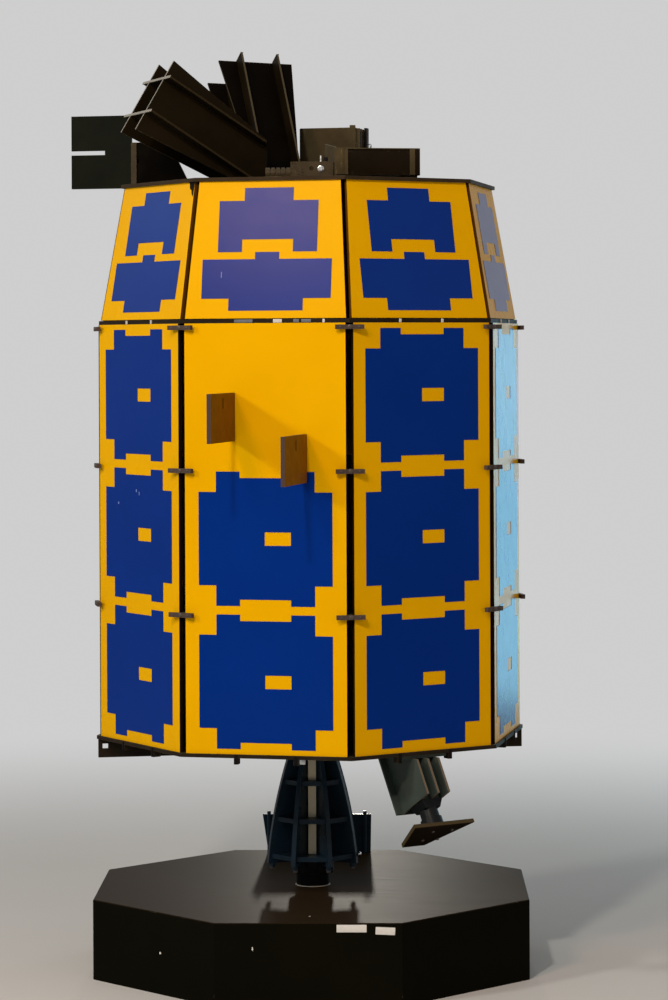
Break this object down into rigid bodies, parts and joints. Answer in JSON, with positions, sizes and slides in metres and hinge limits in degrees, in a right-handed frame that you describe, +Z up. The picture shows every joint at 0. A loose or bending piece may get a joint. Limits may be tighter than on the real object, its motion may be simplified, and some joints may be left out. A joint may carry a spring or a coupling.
{
  "type": "octagonal satellite on a display plinth",
  "caption": "Tall octagonal satellite with solar-cell panels, sensor hoods and a swivelling head under its deck, held by a caged post on an octagonal plinth.",
  "frame": {"origin": "on the floor, on the axis of the post, in the middle of the plinth's underside", "axes": "+Z up; -Y is the way the panel with the two fins looks; +X to the right of a viewer who faces that panel"},
  "size_m": [1.1916, 1.3228, 2.3476],
  "materials": {
    "plinth_laminate": "black laminate, glossy on top",
    "yellow_enamel": "satin enamel",
    "blue_cell": "satin blue sheet",
    "grey_deck": "dull dark paint",
    "black_sheet": "black paint on sheet",
    "black_steel": "black powder coat",
    "ivory_plastic": "pale plastic",
    "grey_hardware": "grey-brown paint",
    "dark_fin": "dark grey-brown paint",
    "dark_arm": "dark grey paint",
    "dark_box": "black-brown paint"
  },
  "bodies": {
    "satellite": {"arm_base": "dark_arm", "arm_neck": "dark_arm", "arm_plates": "dark_arm", "arm_webs": "dark_arm", "back_hood_plates": "black_sheet", "back_hood_ribs": "black_sheet", "bottom_deck": "grey_deck", "box_strip": "dark_box", "bulkhead_high": "grey_deck", "bulkhead_low": "grey_deck", "bulkhead_middle": "grey_deck", "cage_ribs": "black_steel", "cage_rings": "black_steel", "clevis": "grey_hardware", "dark_plate": "dark_box", "deck_beams": "grey_deck", "deck_lugs": "grey_deck", "front_box": "dark_box", "front_fins": "dark_fin", "grooved_roller": "grey_hardware", "left_hood_plates": "black_sheet", "left_hood_ribs": "black_sheet", "light_bar": "ivory_plastic", "lower_cells": "blue_cell", "lower_panel_0": "yellow_enamel", "lower_panel_1": "yellow_enamel", "lower_panel_2": "yellow_enamel", "lower_panel_3": "yellow_enamel", "lower_panel_4": "yellow_enamel", "lower_panel_5": "yellow_enamel", "lower_panel_6": "yellow_enamel", "lower_panel_7": "yellow_enamel", "plinth": "plinth_laminate", "post": "black_steel", "rear_box": "dark_box", "rear_screen": "black_steel", "rear_screen_rods": "black_steel", "rim_post": "grey_hardware", "shoulder_deck": "grey_deck", "side_plate": "dark_box", "top_deck": "grey_deck", "upper_cells": "blue_cell", "upper_panel_0": "yellow_enamel", "upper_panel_1": "yellow_enamel", "upper_panel_2": "yellow_enamel", "upper_panel_3": "yellow_enamel", "upper_panel_4": "yellow_enamel", "upper_panel_5": "yellow_enamel", "upper_panel_6": "yellow_enamel", "upper_panel_7": "yellow_enamel"},
    "head": {"head_discs": "dark_arm", "head_plate": "dark_arm"}
  },
  "joints": [
    {"name": "head_swivel", "type": "hinge", "parent": "satellite", "child": "head", "pos_m": [0.37215, -0.37215, 0.45286], "axis": [0.3642, -0.3642, -0.8572], "range_deg": [-90, 90]}
  ]
}
